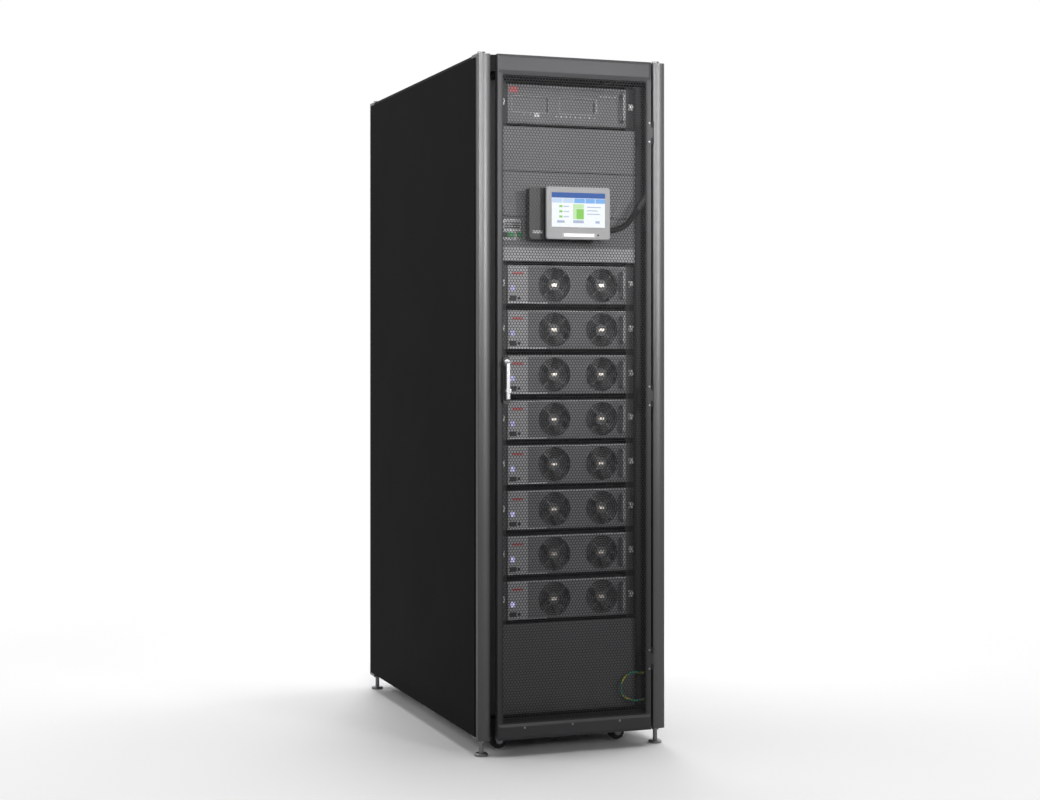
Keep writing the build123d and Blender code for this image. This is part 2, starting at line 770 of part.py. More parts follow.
save("levelling_feet", *[levelling_foot(x, y) for x in (-post_center[0], post_center[0])
                         for y in (-post_center[1], post_center[1])])

# Casters: plate, turning fork with its axle, and wheel
axle_level = wheel_lift + wheel_diameter / 2
crown_low = axle_level + wheel_diameter / 2 + wheel_clearance
crown_high = crown_low + fork_wall
plate_low = crown_high + swivel_gap
plate_high = plate_low + caster_plate_thickness
caster_y = front_plane + caster_setback


def caster_fork():
    half_inside = fork_inside / 2
    half_outside = half_inside + fork_wall
    fork = upright_disc(fork_crown_length, crown_low, crown_high, sides=large_round_sides)
    fork &= block(-fork_crown_length, fork_crown_length, -half_outside, half_outside, crown_low, crown_high)
    cheek_half = fork_cheek_diameter / 2
    for low in (-half_outside, half_inside):
        cheek = facing_disc(fork_cheek_diameter, low, low + fork_wall, -caster_trail, axle_level,
                            small_round_sides)
        cheek += block(-caster_trail - cheek_half, -caster_trail + cheek_half, low, low + fork_wall,
                       axle_level, crown_high)
        fork += cheek
    fork += facing_disc(axle_diameter, -half_outside, half_outside, -caster_trail, axle_level)
    for low in (-half_outside - axle_head_length, half_outside):
        fork += facing_disc(axle_head_diameter, low, low + axle_head_length, -caster_trail, axle_level, 6)
    return fork + upright_disc(kingpin_diameter, crown_high, plate_high - kingpin_end_gap)


def caster_wheel():
    wheel = facing_disc(wheel_diameter, -wheel_width / 2, wheel_width / 2, sides=large_round_sides)
    rims = wheel.faces().sort_by(Axis.Y)
    wheel = chamfer(rims[0].edges() + rims[-1].edges(), wheel_edge_bevel)
    hub_half = fork_inside / 2 - wheel_hub_play
    wheel += facing_disc(wheel_hub_diameter, -hub_half, hub_half, sides=small_round_sides)
    wheel -= facing_disc(axle_diameter + 2 * running_clearance, -fork_inside, fork_inside)
    return Pos(-caster_trail, 0, axle_level) * wheel


caster_side_distance = side_rail_inner - caster_rail_distance
caster_spots = [(-caster_side_distance, caster_y), (caster_side_distance, caster_y),
                (-caster_side_distance, -caster_y), (caster_side_distance, -caster_y)]
plates = []
for index, (x, y) in enumerate(caster_spots):
    half = caster_plate_size / 2
    plate = block(x - half, x + half, y - half, y + half, plate_low, plate_high)
    plates.append(plate - upright_disc(kingpin_diameter + 2 * running_clearance, plate_low, plate_high, x, y))
    save(f"caster_fork_{index + 1}", Pos(x, y, 0) * caster_fork())
    save(f"caster_wheel_{index + 1}", Pos(x, y, 0) * caster_wheel())
save("caster_plates", *plates)
bearer = block(-side_rail_inner, side_rail_inner, caster_y - caster_bearer_depth / 2,
               caster_y + caster_bearer_depth / 2, plate_high, plate_high + caster_bearer_thickness)
save("caster_bearers", *front_and_rear(bearer))

# Bonding wire: a loose loop from a lug on the right post to the back of the door
wire_plane = (door_back + panel_front) / 2
lug_level = door_bottom + bonding_lug_rise
door_end_level = lug_level - bonding_loop_drop
door_end_x = door_half - door_stile / 2
wire_points = [(post_inner - bonding_lug_length, wire_plane, lug_level)]
wire_shares = ((0.306, 0.0), (0.592, -0.07), (0.857, 0.105), (1.0, 0.42), (0.949, 0.79),
               (0.714, 1.04), (0.429, 1.09))
for along, down in wire_shares:
    wire_x = post_inner - along * bonding_loop_reach
    wire_points.append((wire_x, wire_plane, lug_level - down * bonding_loop_drop))
wire_points.append((door_end_x, wire_plane - bonding_end_setback, door_end_level))
wire_points.append((door_end_x, door_back + hinge_play, door_end_level))
save("bonding_wire", rounded_tube(wire_points, bonding_wire_diameter, wire_sides))
save("bonding_lug", crosswise_disc(bonding_lug_diameter, post_inner - bonding_lug_length, post_inner,
                                   wire_plane, lug_level, small_round_sides))
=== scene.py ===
import math

import bmesh
import bpy
from mathutils import Matrix, Vector


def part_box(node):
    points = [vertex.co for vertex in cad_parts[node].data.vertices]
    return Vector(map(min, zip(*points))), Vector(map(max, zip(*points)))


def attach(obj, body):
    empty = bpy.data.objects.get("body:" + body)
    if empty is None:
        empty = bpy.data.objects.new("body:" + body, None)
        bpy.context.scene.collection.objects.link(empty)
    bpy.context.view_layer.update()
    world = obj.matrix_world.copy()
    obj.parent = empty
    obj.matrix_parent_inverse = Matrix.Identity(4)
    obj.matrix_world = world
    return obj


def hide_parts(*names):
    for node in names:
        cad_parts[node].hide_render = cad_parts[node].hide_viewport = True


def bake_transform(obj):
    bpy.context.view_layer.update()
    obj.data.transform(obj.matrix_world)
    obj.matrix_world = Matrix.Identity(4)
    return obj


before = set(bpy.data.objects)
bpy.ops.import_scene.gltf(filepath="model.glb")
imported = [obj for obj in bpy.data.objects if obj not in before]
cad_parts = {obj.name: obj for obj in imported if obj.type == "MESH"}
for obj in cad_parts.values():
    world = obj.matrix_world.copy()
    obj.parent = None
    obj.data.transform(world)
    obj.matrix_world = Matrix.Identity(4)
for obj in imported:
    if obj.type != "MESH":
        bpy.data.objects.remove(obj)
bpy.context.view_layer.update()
print("frame loaded")


# Shader maths: a wrapped socket, a node tree that makes nodes, and a material built in one
class Wire:
    def __init__(self, nodes, socket):
        self.nodes = nodes
        self.socket = socket

    def combine(self, operation, other=0.0, swapped=False):
        first, second = (other, self) if swapped else (self, other)
        return self.nodes.node("ShaderNodeMath", {"operation": operation}, {0: first, 1: second})

    def __add__(self, other):
        return self.combine("ADD", other)

    def __radd__(self, other):
        return self.combine("ADD", other, True)

    def __mul__(self, other):
        return self.combine("MULTIPLY", other)

    def __rmul__(self, other):
        return self.combine("MULTIPLY", other, True)

    def __gt__(self, other):
        return self.combine("GREATER_THAN", other)

    def __lt__(self, other):
        return self.combine("LESS_THAN", other)

    def __abs__(self):
        return self.combine("ABSOLUTE")


class Nodes:
    def __init__(self, tree):
        self.tree = tree

    def node(self, kind, settings=None, sockets=None, out=0):
        made = self.tree.nodes.new(kind)
        for key, value in (settings or {}).items():
            setattr(made, key, value)
        for key, value in (sockets or {}).items():
            if isinstance(value, Wire):
                self.link(value, made.inputs[key])
            else:
                made.inputs[key].default_value = value
        return Wire(self, made.outputs[out])

    def link(self, wire, socket):
        self.tree.links.new(wire.socket, socket)

    def spread(self, wire, low, high, fromLow=0.3, fromHigh=0.7):
        sockets = {"Value": wire, "From Min": fromLow, "From Max": fromHigh, "To Min": low, "To Max": high}
        return self.node("ShaderNodeMapRange", None, sockets)

    def directRays(self):
        # 1 for a ray from the camera, a reflection or glass, 0 for light that bounces
        seen = self.node("ShaderNodeLightPath", out="Is Camera Ray")
        for ray in ("Is Glossy Ray", "Is Transmission Ray"):
            seen = seen.combine("MAXIMUM", self.node("ShaderNodeLightPath", out=ray))
        return seen


class Finish(Nodes):
    def __init__(self, name, **constants):
        self.material = bpy.data.materials.new(name)
        self.material.use_nodes = True
        super().__init__(self.material.node_tree)
        self.shader = self.tree.nodes["Principled BSDF"]
        for key, value in constants.items():
            self.shader.inputs[key.replace("_", " ")].default_value = value

    def feed(self, name, wire):
        self.link(wire, self.shader.inputs[name])

    def noise(self, scale, detail=3.0, stretch=None):
        spot = self.node("ShaderNodeTexCoord", out="Object")
        if stretch:
            spot = self.node("ShaderNodeMapping", None, {"Vector": spot, "Scale": stretch})
        return self.node("ShaderNodeTexNoise", None, {"Vector": spot, "Scale": scale, "Detail": detail})

    def tint(self, mask, first, second):
        first, second = [value if isinstance(value, Wire) else (*value, 1) for value in (first, second)]
        return self.node("ShaderNodeMix", {"data_type": "RGBA"}, {0: mask, 6: first, 7: second}, out=2)

    def clouded(self, cloud, colour, low, high):
        # the colour, a little darker or lighter from place to place
        return self.tint(self.spread(cloud, 0, 1), shade(colour, low), shade(colour, high))

    def axis(self, letter):
        spot = self.node("ShaderNodeTexCoord", out="Object")
        return self.node("ShaderNodeSeparateXYZ", None, {0: spot}, out=letter)

    def bump(self, height, strength, distance):
        sockets = {"Height": height, "Strength": strength, "Distance": distance}
        self.feed("Normal", self.node("ShaderNodeBump", None, sockets))


def shade(colour, factor):
    return tuple(part * factor for part in colour)


# Kinds of finish
coatSet = {"cloudScale": 3.0, "cloudLow": 0.90, "cloudHigh": 1.08, "gloss": 0.06, "peelDepth": 0.0002}


def powderCoat(name, colour, roughness, specular, peel=0.25, peelScale=900, other=None, parted=None):
    # parted gives a mask that is 1 where the other colour is
    coat = Finish(name, Specular_IOR_Level=specular)
    cloud = coat.noise(coatSet["cloudScale"], 4)
    grain = coat.noise(peelScale, 2)
    colours = [coat.clouded(cloud, paint, coatSet["cloudLow"], coatSet["cloudHigh"])
               for paint in (colour, other) if paint]
    coat.feed("Base Color", coat.tint(parted(coat), *colours) if parted else colours[0])
    coat.feed("Roughness", coat.spread(cloud * 0.6 + grain * 0.4, roughness - coatSet["gloss"],
                                       roughness + coatSet["gloss"]))
    coat.bump(grain, peel, coatSet["peelDepth"])
    return coat.material


def plainMetal(name, colour, roughness, grainScale=(4, 4, 260), strength=0.12):
    metal = Finish(name, Metallic=1.0)
    grain = metal.noise(6, 3, grainScale)
    metal.feed("Base Color", metal.clouded(metal.noise(14, 4), colour, 0.85, 1.08))
    metal.feed("Roughness", metal.spread(grain, roughness * 0.75, roughness * 1.3))
    metal.bump(grain, strength, 0.0001)
    return metal.material


def mouldedPlastic(name, colour, roughness, specular=0.4, texture=0.18):
    plastic = Finish(name, Specular_IOR_Level=specular)
    grain = plastic.noise(1500, 2)
    plastic.feed("Base Color", plastic.clouded(plastic.noise(9, 3), colour, 0.9, 1.07))
    plastic.feed("Roughness", plastic.spread(grain, roughness - 0.07, roughness + 0.07))
    plastic.bump(grain, texture, 0.0001)
    return plastic.material


def litFace(name, colour, strength=0.95):
    lit = Finish(name, Roughness=0.4, Specular_IOR_Level=0.06, Emission_Strength=strength)
    cloud = lit.noise(260, 2)
    lit.feed("Base Color", lit.clouded(cloud, colour, 0.04, 0.06))
    lit.feed("Emission Color", lit.clouded(cloud, colour, 0.93, 1.0))
    return lit.material


def twoToneSleeve(name, first, second):
    # the wire carries its stripe as an attribute
    sleeve = Finish(name, Roughness=0.42)
    stripe = sleeve.node("ShaderNodeAttribute", {"attribute_name": "stripe"}, out="Fac")
    sleeve.feed("Base Color", sleeve.tint(stripe, first, second))
    sleeve.bump(sleeve.noise(900, 2), 0.1, 0.0001)
    return sleeve.material


moduleNodes = [f"power_module_{number}" for number in range(1, 9)]
moduleLow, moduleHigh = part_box(moduleNodes[0])
displayLow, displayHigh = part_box("display_housing")

# Where a paint changes: metres from the middle across, or back from the front face. Beyond the rail value
# and behind the recess value, the darker colour is painted shade
partSet = {"railShadeSides": 0.2425, "bypassSides": 0.1902, "recess": 0.0018, "bezelEdge": 0.0078}


# 1 on the rails beyond the door's edges, which are painted nearly black there as painted shade in the gap
# between door and posts
def inDoorGapShade(coat):
    return abs(coat.axis("X")) > partSet["railShadeSides"]


def onBypassEar(coat):
    return abs(coat.axis("X")) > partSet["bypassSides"]


# 1 behind the module face, where the paint turns darker as painted shade in the fan recesses
def inRecessShade(coat):
    return coat.axis("Y") > moduleLow.y + partSet["recess"]


def behindBezel(coat):
    return coat.axis("Y") > displayLow.y + partSet["bezelEdge"]


# Paints
postPaint = powderCoat("postPaint", (0.034, 0.034, 0.036), 0.36, 0.60)
panelPaint = powderCoat("panelPaint", (0.010, 0.010, 0.0105), 0.66, 0.012)
doorPaint = powderCoat("doorPaint", (0.036, 0.036, 0.038), 0.40, 0.18)
meshPaint = powderCoat("meshPaint", (0.030, 0.030, 0.031), 0.50, 0.10, 0.1)
innerPaint = powderCoat("innerPaint", (0.022, 0.022, 0.023), 0.55, 0.15)
# rail paint, and nearly black painted shade on the rails in the gap beside the door
railPaintAndGapShade = powderCoat("railPaintAndGapShade", (0.022, 0.022, 0.023), 0.55, 0.15, 0.25, 700,
                       (0.003, 0.003, 0.003), inDoorGapShade)
# module face paint, and darker painted shade behind the face
modulePaintAndRecessShade = powderCoat("modulePaintAndRecessShade", (0.17, 0.17, 0.176), 0.55, 0.28, 0.25, 700,
                         (0.075, 0.075, 0.077), inRecessShade)
bypassPaint = powderCoat("bypassPaint", (0.17, 0.17, 0.176), 0.55, 0.28, 0.25, 700,
                         (0.034, 0.034, 0.035), onBypassEar)
blankPaint = powderCoat("blankPaint", (0.18, 0.18, 0.185), 0.58, 0.25, 0.3, 700)
# the lower blank panel is painted darker than the blanks above it, as painted shade low in the cabinet
lowerShadedPaint = powderCoat("lowerShadedPaint", (0.12, 0.12, 0.123), 0.6, 0.22, 0.3, 700)
labelPaint = powderCoat("labelPaint", (0.36, 0.36, 0.37), 0.5, 0.3, 0.2, 700)
bandPaint = powderCoat("bandPaint", (0.36, 0.36, 0.37), 0.5, 0.3, 0.2, 700)
edgePaint = powderCoat("edgePaint", (0.62, 0.62, 0.63), 0.45, 0.35, 0.1, 700)
stripePaint = powderCoat("stripePaint", (0.50, 0.12, 0.125), 0.5, 0.3, 0.1)
bezelPlastic = powderCoat("bezelPlastic", (0.21, 0.21, 0.213), 0.5, 0.3, 0.25, 700,
                          (0.010, 0.010, 0.011), behindBezel)
# Metals
zincSteel = plainMetal("zincSteel", (0.52, 0.52, 0.53), 0.34)
darkZinc = plainMetal("darkZinc", (0.16, 0.16, 0.165), 0.42)
chromeSteel = plainMetal("chromeSteel", (0.23, 0.23, 0.235), 0.32, (8, 8, 60), 0.03)
guardSteel = plainMetal("guardSteel", (0.20, 0.20, 0.205), 0.45, (200, 200, 200), 0.05)
hubFoil = plainMetal("hubFoil", (0.50, 0.46, 0.41), 0.38, (300, 300, 300), 0.05)
# Plastics and rubber
latchGrey = mouldedPlastic("latchGrey", (0.58, 0.58, 0.59), 0.45)
hubGrey = mouldedPlastic("hubGrey", (0.11, 0.11, 0.112), 0.5)
fanPlastic = mouldedPlastic("fanPlastic", (0.080, 0.080, 0.082), 0.5)
blackPlastic = mouldedPlastic("blackPlastic", (0.014, 0.014, 0.015), 0.5)
greenPlastic = mouldedPlastic("greenPlastic", (0.05, 0.28, 0.10), 0.45)
greyPlastic = mouldedPlastic("greyPlastic", (0.30, 0.30, 0.31), 0.5)
barGrey = mouldedPlastic("barGrey", (0.30, 0.30, 0.30), 0.45)
whitePlastic = mouldedPlastic("whitePlastic", (0.80, 0.80, 0.79), 0.45)
tyreRubber = mouldedPlastic("tyreRubber", (0.016, 0.016, 0.016), 0.72, 0.25, 0.4)
earthSleeve = twoToneSleeve("earthSleeve", (0.02, 0.26, 0.17), (0.62, 0.58, 0.06))
# Lit faces
screenWhite = litFace("screenWhite", (0.90, 0.94, 0.96))
screenBlue = litFace("screenBlue", (0.045, 0.12, 0.38))
screenSky = litFace("screenSky", (0.22, 0.45, 0.85))
screenPale = litFace("screenPale", (0.56, 0.70, 0.88))
screenGreen = litFace("screenGreen", (0.26, 0.62, 0.12))
screenMint = litFace("screenMint", (0.55, 0.80, 0.45))
screenGrey = litFace("screenGrey", (0.42, 0.50, 0.66))
ledLilac = litFace("ledLilac", (0.58, 0.57, 0.94))
print("finishes made")

casterNumbers = range(1, 5)
nodeFinishes = [
    (postPaint, ["front_posts", "rear_posts"]),
    (panelPaint, ["left_side_panel", "right_side_panel", "roof_panel", "floor_panel", "rear_cover_panel"]),
    (doorPaint, ["front_door_frame", "rear_door_frame"]),
    (meshPaint, ["front_door_mesh", "rear_door_mesh"]),
    (innerPaint, ["top_side_rails", "base_side_rails", "module_cage_sides", "module_shelves"]),
    (innerPaint, ["caster_bearers", "hinge_brackets"]),
    (railPaintAndGapShade, ["top_cross_rails", "base_cross_rails", "mounting_rails"]),
    (modulePaintAndRecessShade, moduleNodes),
    (bypassPaint, ["bypass_module"]),
    (blankPaint, ["upper_blank_panel", "middle_blank_panel", "monitor_unit"]),
    (lowerShadedPaint, ["lower_blank_panel"]),
    (guardSteel, ["module_fan_guards"]),
    (fanPlastic, ["module_fan_rotors"]),
    (blackPlastic, ["display_rear_box", "display_cable", "handle_base"]),
    (greyPlastic, ["module_handles"]),
    (darkZinc, ["roof_bolts", "levelling_feet", "caster_plates", "rear_door_handle"]),
    (darkZinc, [f"caster_fork_{number}" for number in casterNumbers]),
    (zincSteel, ["bonding_lug"]),
    (tyreRubber, [f"caster_wheel_{number}" for number in casterNumbers]),
    (bezelPlastic, ["display_housing"]),
    (screenWhite, ["display_screen"]),
    (chromeSteel, ["handle_swivel", "handle_lever"]),
    (greenPlastic, ["bonding_wire"]),
]
for material, nodeNames in nodeFinishes:
    for nodeName in nodeNames:
        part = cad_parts[nodeName]
        part.data.materials.clear()
        part.data.materials.append(material)


# Mesh helpers on bmesh operators
def linkedEdges(made):
    return list({edge for vert in made["verts"] for edge in vert.link_edges})


def slab(bm, low, high, bevel=0.0, segments=1):
    low, high = Vector(low), Vector(high)
    spot = Matrix.Translation((low + high) / 2) @ Matrix.Diagonal((*(high - low), 1))
    made = bmesh.ops.create_cube(bm, size=1, matrix=spot)
    if bevel:
        bmesh.ops.bevel(bm, geom=linkedEdges(made), offset=bevel, segments=segments, affect="EDGES",
                        profile=0.5, material=-1)


def rod(bm, start, end, radius, endRadius=None, sides=16):
    start, end = Vector(start), Vector(end)
    turn = (end - start).to_track_quat("Z", "Y").to_matrix().to_4x4()
    bmesh.ops.create_cone(bm, cap_ends=True, segments=sides, radius1=radius,
                          radius2=radius if endRadius is None else endRadius, depth=(end - start).length,
                          matrix=Matrix.Translation((start + end) / 2) @ turn)


def repeat(bm, spots):
    # copies of all that is in bm, moved to each spot, in place of the original
    original = bm.verts[:] + bm.edges[:] + bm.faces[:]
    originalVerts = bm.verts[:]
    for spot in spots[1:]:
        made = bmesh.ops.duplicate(bm, geom=original)
        verts = [item for item in made["geom"] if isinstance(item, bmesh.types.BMVert)]
        bmesh.ops.translate(bm, verts=verts, vec=spot)
    bmesh.ops.translate(bm, verts=originalVerts, vec=spots[0])


def piece(name, bm, body, material, smooth=0):
    mesh = bpy.data.meshes.new(name)
    bmesh.ops.recalc_face_normals(bm, faces=bm.faces)
    bm.to_mesh(mesh)
    bm.free()
    mesh.materials.append(material)
    if smooth:
        mesh.shade_smooth()
        mesh.set_sharp_from_angle(angle=math.radians(smooth))
    made = bpy.data.objects.new(name, mesh)
    bpy.context.scene.collection.objects.link(made)
    if body:
        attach(made, body)
    return made


def blocks(name, boxes, spots, body, material):
    # one piece of several slabs, repeated at each spot that they are measured from
    bm = bmesh.new()
    for box in boxes:
        slab(bm, **box)
    repeat(bm, spots)
    return piece(name, bm, body, material)


# Camera at the photograph's place, aimed at this one cabinet
cameraSet = {"place": (-2.0, -5.69, 1.185), "turn": 19.8, "lens": 64.0, "shiftY": -0.048}
cameraData = bpy.data.cameras.new("camera")
cameraData.lens = cameraSet["lens"]
cameraData.shift_y = cameraSet["shiftY"]
camera = bpy.data.objects.new("camera", cameraData)
camera.location = cameraSet["place"]
camera.rotation_euler = (math.radians(90), 0, math.radians(-cameraSet["turn"]))
bpy.context.scene.collection.objects.link(camera)
bpy.context.scene.camera = camera
print("camera placed")

# Cords: a smooth line through the route, and a tube along it
tubeSet = {"sides": 14, "lineSteps": 24, "smooth": 60}


def routeLine(points):
    # points along the smooth spline that the route's points control
    curve = bpy.data.curves.new("route", "CURVE")
    curve.dimensions = "3D"
    curve.resolution_u = tubeSet["lineSteps"]
    spline = curve.splines.new("NURBS")
    spline.points.add(len(points) - 1)
    for control, point in zip(spline.points, points):
        control.co = (*point, 1)
    spline.order_u = 3
    spline.use_endpoint_u = True
    holder = bpy.data.objects.new("route", curve)
    bpy.context.scene.collection.objects.link(holder)
    bpy.context.view_layer.update()
    line = bpy.data.meshes.new_from_object(holder.evaluated_get(bpy.context.evaluated_depsgraph_get()))
    found = [vert.co.copy() for vert in line.vertices]
    bpy.data.objects.remove(holder)
    return found


def evenly(line, step):
    # the same line with its points a set distance apart, ends kept, and its length
    lengths = [0.0]
    for before, after in zip(line, line[1:]):
        lengths.append(lengths[-1] + (after - before).length)
    count = max(2, round(lengths[-1] / step))
    picked = []
    for index in range(count + 1):
        goal = lengths[-1] * index / count
        after = next((k for k in range(1, len(line)) if lengths[k] >= goal - 1e-9), len(line) - 1)
        span = max(lengths[after] - lengths[after - 1], 1e-9)
        picked.append(line[after - 1].lerp(line[after], (goal - lengths[after - 1]) / span))
    return picked, lengths[-1]


def tube(bm, line, radii):
    heading = (line[1] - line[0]).normalized()
    turn = heading.to_track_quat("Z", "Y")
    last = len(line) - 1
    rings = []
    for index, point in enumerate(line):
        ahead = (line[min(index + 1, last)] - line[max(index - 1, 0)]).normalized()
        turn = heading.rotation_difference(ahead) @ turn
        heading = ahead
        spot = Matrix.Translation(point) @ turn.to_matrix().to_4x4()
        made = bmesh.ops.create_circle(bm, segments=tubeSet["sides"], radius=radii[index],
                                       cap_ends=index in (0, last), matrix=spot)
        rings.append(linkedEdges(made))
    for first, second in zip(rings, rings[1:]):
        bmesh.ops.bridge_loops(bm, edges=first + second)


# Display cable: ribbed conduit from the box behind the mesh to the hinge stile
cableSet = {"exit": (0.101, -0.6055, 1.541), "room": 0.130, "rise": 0.062, "diameter": 0.018,
            "shares": ((0.0, 0.0), (0.254, 0.0), (0.485, 0.226), (0.654, 0.597), (0.785, 1.0)),
            "ribStep": 0.0044, "ribDepth": 0.0014}
cableX, cableY, cableZ = cableSet["exit"]
cableRoute = [(cableX + along * cableSet["room"], cableY, cableZ + up * cableSet["rise"])
              for along, up in cableSet["shares"]]
cableLine, cableLength = evenly(routeLine(cableRoute), cableSet["ribStep"] / 2)
bm = bmesh.new()
tube(bm, cableLine, [cableSet["diameter"] / 2 - (cableSet["ribDepth"] if index % 2 else 0)
                     for index in range(len(cableLine))])
displayCable = piece("displayCable", bm, "front_door", blackPlastic, tubeSet["smooth"])
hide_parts("display_cable")

# Bonding wire: a loose loop from its lug on the right post to the back of the door
wireSet = {"lug": (0.253, -0.579, 0.214), "post": 0.257, "reach": 0.098, "drop": 0.076, "diameter": 0.006,
           "shares": ((0.306, 0.0), (0.592, -0.07), (0.857, 0.105), (1.0, 0.42), (0.949, 0.79),
                      (0.714, 1.04), (0.429, 1.09)),
           "ends": [(0.237, -0.585, 0.138), (0.237, -0.5957, 0.138)], "step": 0.003,
           "bendStart": (0.237, -0.581, 0.138), "bendEnd": (0.237, -0.594, 0.138),
           "stripeTurns": 3.5, "stripeShare": 0.32}
lugX, lugY, lugZ = wireSet["lug"]
wireLoop = [(wireSet["post"] - along * wireSet["reach"], lugY, lugZ - down * wireSet["drop"])
            for along, down in wireSet["shares"]]
wireRoute = [wireSet["lug"]] + wireLoop + wireSet["ends"]
wireLine, wireLength = evenly(routeLine(wireRoute), wireSet["step"])
bm = bmesh.new()
tube(bm, wireLine, [wireSet["diameter"] / 2] * len(wireLine))
bondingWire = piece("bondingWire", bm, None, earthSleeve, tubeSet["smooth"])
stripe = bondingWire.data.attributes.new("stripe", "FLOAT", "POINT")
for index, row in enumerate(stripe.data):
    ringIndex, side = divmod(index, tubeSet["sides"])
    around = (side / tubeSet["sides"] + wireSet["stripeTurns"] * ringIndex / len(wireLine)) % 1
    row.value = 1.0 if around < wireSet["stripeShare"] else 0.0
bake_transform(bondingWire)
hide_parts("bonding_wire")
print("cables laid", round(cableLength, 4), round(wireLength, 4))

# Perforated door sheets: six-sided holes in a staggered pattern inside a plain border
sheetSet = {"front": {"pitch": 0.009, "web": 0.0015, "parts": 3},
            "rear": {"pitch": 0.014, "web": 0.0024, "parts": 2},
            "thickness": 0.0012, "border": 0.005, "displayMargin": 0.02, "mergeShare": 0.02}


def holePattern(numbers, low, high):
    # a flat field of six-sided rings, somewhat larger than the sheet
    pitch = numbers["pitch"]
    rowStep = pitch * math.sqrt(3) / 2
    bm = bmesh.new()
    upright = Matrix.Rotation(math.radians(90), 4, "X")
    for spot in ((0, 0, 0), (pitch / 2, 0, rowStep)):
        bmesh.ops.create_circle(bm, cap_ends=True, segments=6, radius=pitch / math.sqrt(3),
                                matrix=Matrix.Translation(spot) @ upright)
    holes = bm.faces[:]
    bmesh.ops.inset_individual(bm, faces=holes, thickness=numbers["web"] / 2, use_even_offset=True)
    bmesh.ops.delete(bm, geom=holes, context="FACES_ONLY")
    columnStart = math.floor(low.x / pitch) - 1
    rowStart = math.floor(low.z / (2 * rowStep)) - 1
    bmesh.ops.translate(bm, verts=bm.verts, vec=(columnStart * pitch, 0, rowStart * 2 * rowStep))
    cell = bpy.data.meshes.new("cell")
    bm.to_mesh(cell)
    bm.free()
    holder = bpy.data.objects.new("cell", cell)
    bpy.context.scene.collection.objects.link(holder)
    counts = (math.ceil((high.x - low.x) / pitch) + 3, math.ceil((high.z - low.z) / (2 * rowStep)) + 3)
    for count, step in zip(counts, ((pitch, 0, 0), (0, 0, 2 * rowStep))):
        array = holder.modifiers.new("array", "ARRAY")
        array.count = count
        array.use_relative_offset = False
        array.use_constant_offset = True
        array.constant_offset_displace = step
    bpy.context.view_layer.update()
    field = bpy.data.meshes.new_from_object(holder.evaluated_get(bpy.context.evaluated_depsgraph_get()))
    bpy.data.objects.remove(holder)
    bm = bmesh.new()
    bm.from_mesh(field)
    bmesh.ops.remove_doubles(bm, verts=bm.verts, dist=pitch * sheetSet["mergeShare"])
    return bm


def perforatedSheet(name, nodeName, body, numbers, low, high, edges, gap):
    # low and high are the corners of this part of the sheet, edges the ends that have a border
    border = sheetSet["border"]
    left, right = low.x + border, high.x - border
    bottom = low.z + border * ("low" in edges)
    top = high.z - border * ("high" in edges)
    bm = holePattern(numbers, low, high)
    for spot, normal in (((left, 0, 0), (-1, 0, 0)), ((right, 0, 0), (1, 0, 0)),
                         ((0, 0, bottom), (0, 0, -1)), ((0, 0, top), (0, 0, 1))):
        bmesh.ops.bisect_plane(bm, geom=bm.verts[:] + bm.edges[:] + bm.faces[:], plane_co=spot,
                               plane_no=normal, clear_outer=True)
    if gap:
        gapLow, gapHigh = gap
        middles = [(face, face.calc_center_median()) for face in bm.faces]
        inside = [face for face, spot in middles
                  if gapLow.x < spot.x < gapHigh.x and gapLow.z < spot.z < gapHigh.z]
        bmesh.ops.delete(bm, geom=inside, context="FACES")
    bmesh.ops.solidify(bm, geom=bm.faces[:], thickness=sheetSet["thickness"])
    middle = (low.y + high.y) / 2
    depths = [vert.co.y for vert in bm.verts]
    bmesh.ops.translate(bm, verts=bm.verts, vec=(0, middle - (min(depths) + max(depths)) / 2, 0))
    front, back = middle - sheetSet["thickness"] / 2, middle + sheetSet["thickness"] / 2
    slab(bm, (low.x, front, low.z), (left, back, high.z))
    slab(bm, (right, front, low.z), (high.x, back, high.z))
    if "low" in edges:
        slab(bm, (left, front, low.z), (right, back, bottom))
    if "high" in edges:
        slab(bm, (left, front, top), (right, back, high.z))
    made = piece(name, bm, body, meshPaint)
    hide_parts(nodeName)
    print(name, len(made.data.polygons))


gapMargin = Vector((sheetSet["displayMargin"], 0, sheetSet["displayMargin"]))
displayGap = (displayLow + gapMargin, displayHigh - gapMargin)
for side, nodeName, body, gap in (("front", "front_door_mesh", "front_door", displayGap),
                                  ("rear", "rear_door_mesh", "cabinet", None)):
    low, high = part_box(nodeName)
    numbers = sheetSet[side]
    step = (high.z - low.z) / numbers["parts"]
    for index in range(numbers["parts"]):
        edges = ["low"] * (index == 0) + ["high"] * (index == numbers["parts"] - 1)
        partLow = Vector((low.x, low.y, low.z + index * step))
        partHigh = Vector((high.x, high.y, low.z + (index + 1) * step))
        perforatedSheet(f"{side}Sheet{index + 1}", nodeName, body, numbers, partLow, partHigh, edges, gap)
print("door sheets perforated")

# Power module fronts: spots are the fan centres, and the lower middle of each face
fanCentres = (-0.0411, 0.1108)
modulePlaces = [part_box(nodeName)[0] for nodeName in moduleNodes]
moduleHeight = moduleHigh.z - moduleLow.z
faceY = moduleLow.y
fanSpots = [Vector((x, faceY, place.z + moduleHeight / 2)) for place in modulePlaces for x in fanCentres]
faceSpots = [Vector((0, faceY, place.z)) for place in modulePlaces]

guardSet = {"rings": (0.0515, 0.0445, 0.0375, 0.0305, 0.0235), "wire": 0.0010, "wireSides": 6,
            "ringSteps": 32, "spokes": 4, "spokeTurn": 45, "spokeFrom": 0.019, "spokeTo": 0.0525}


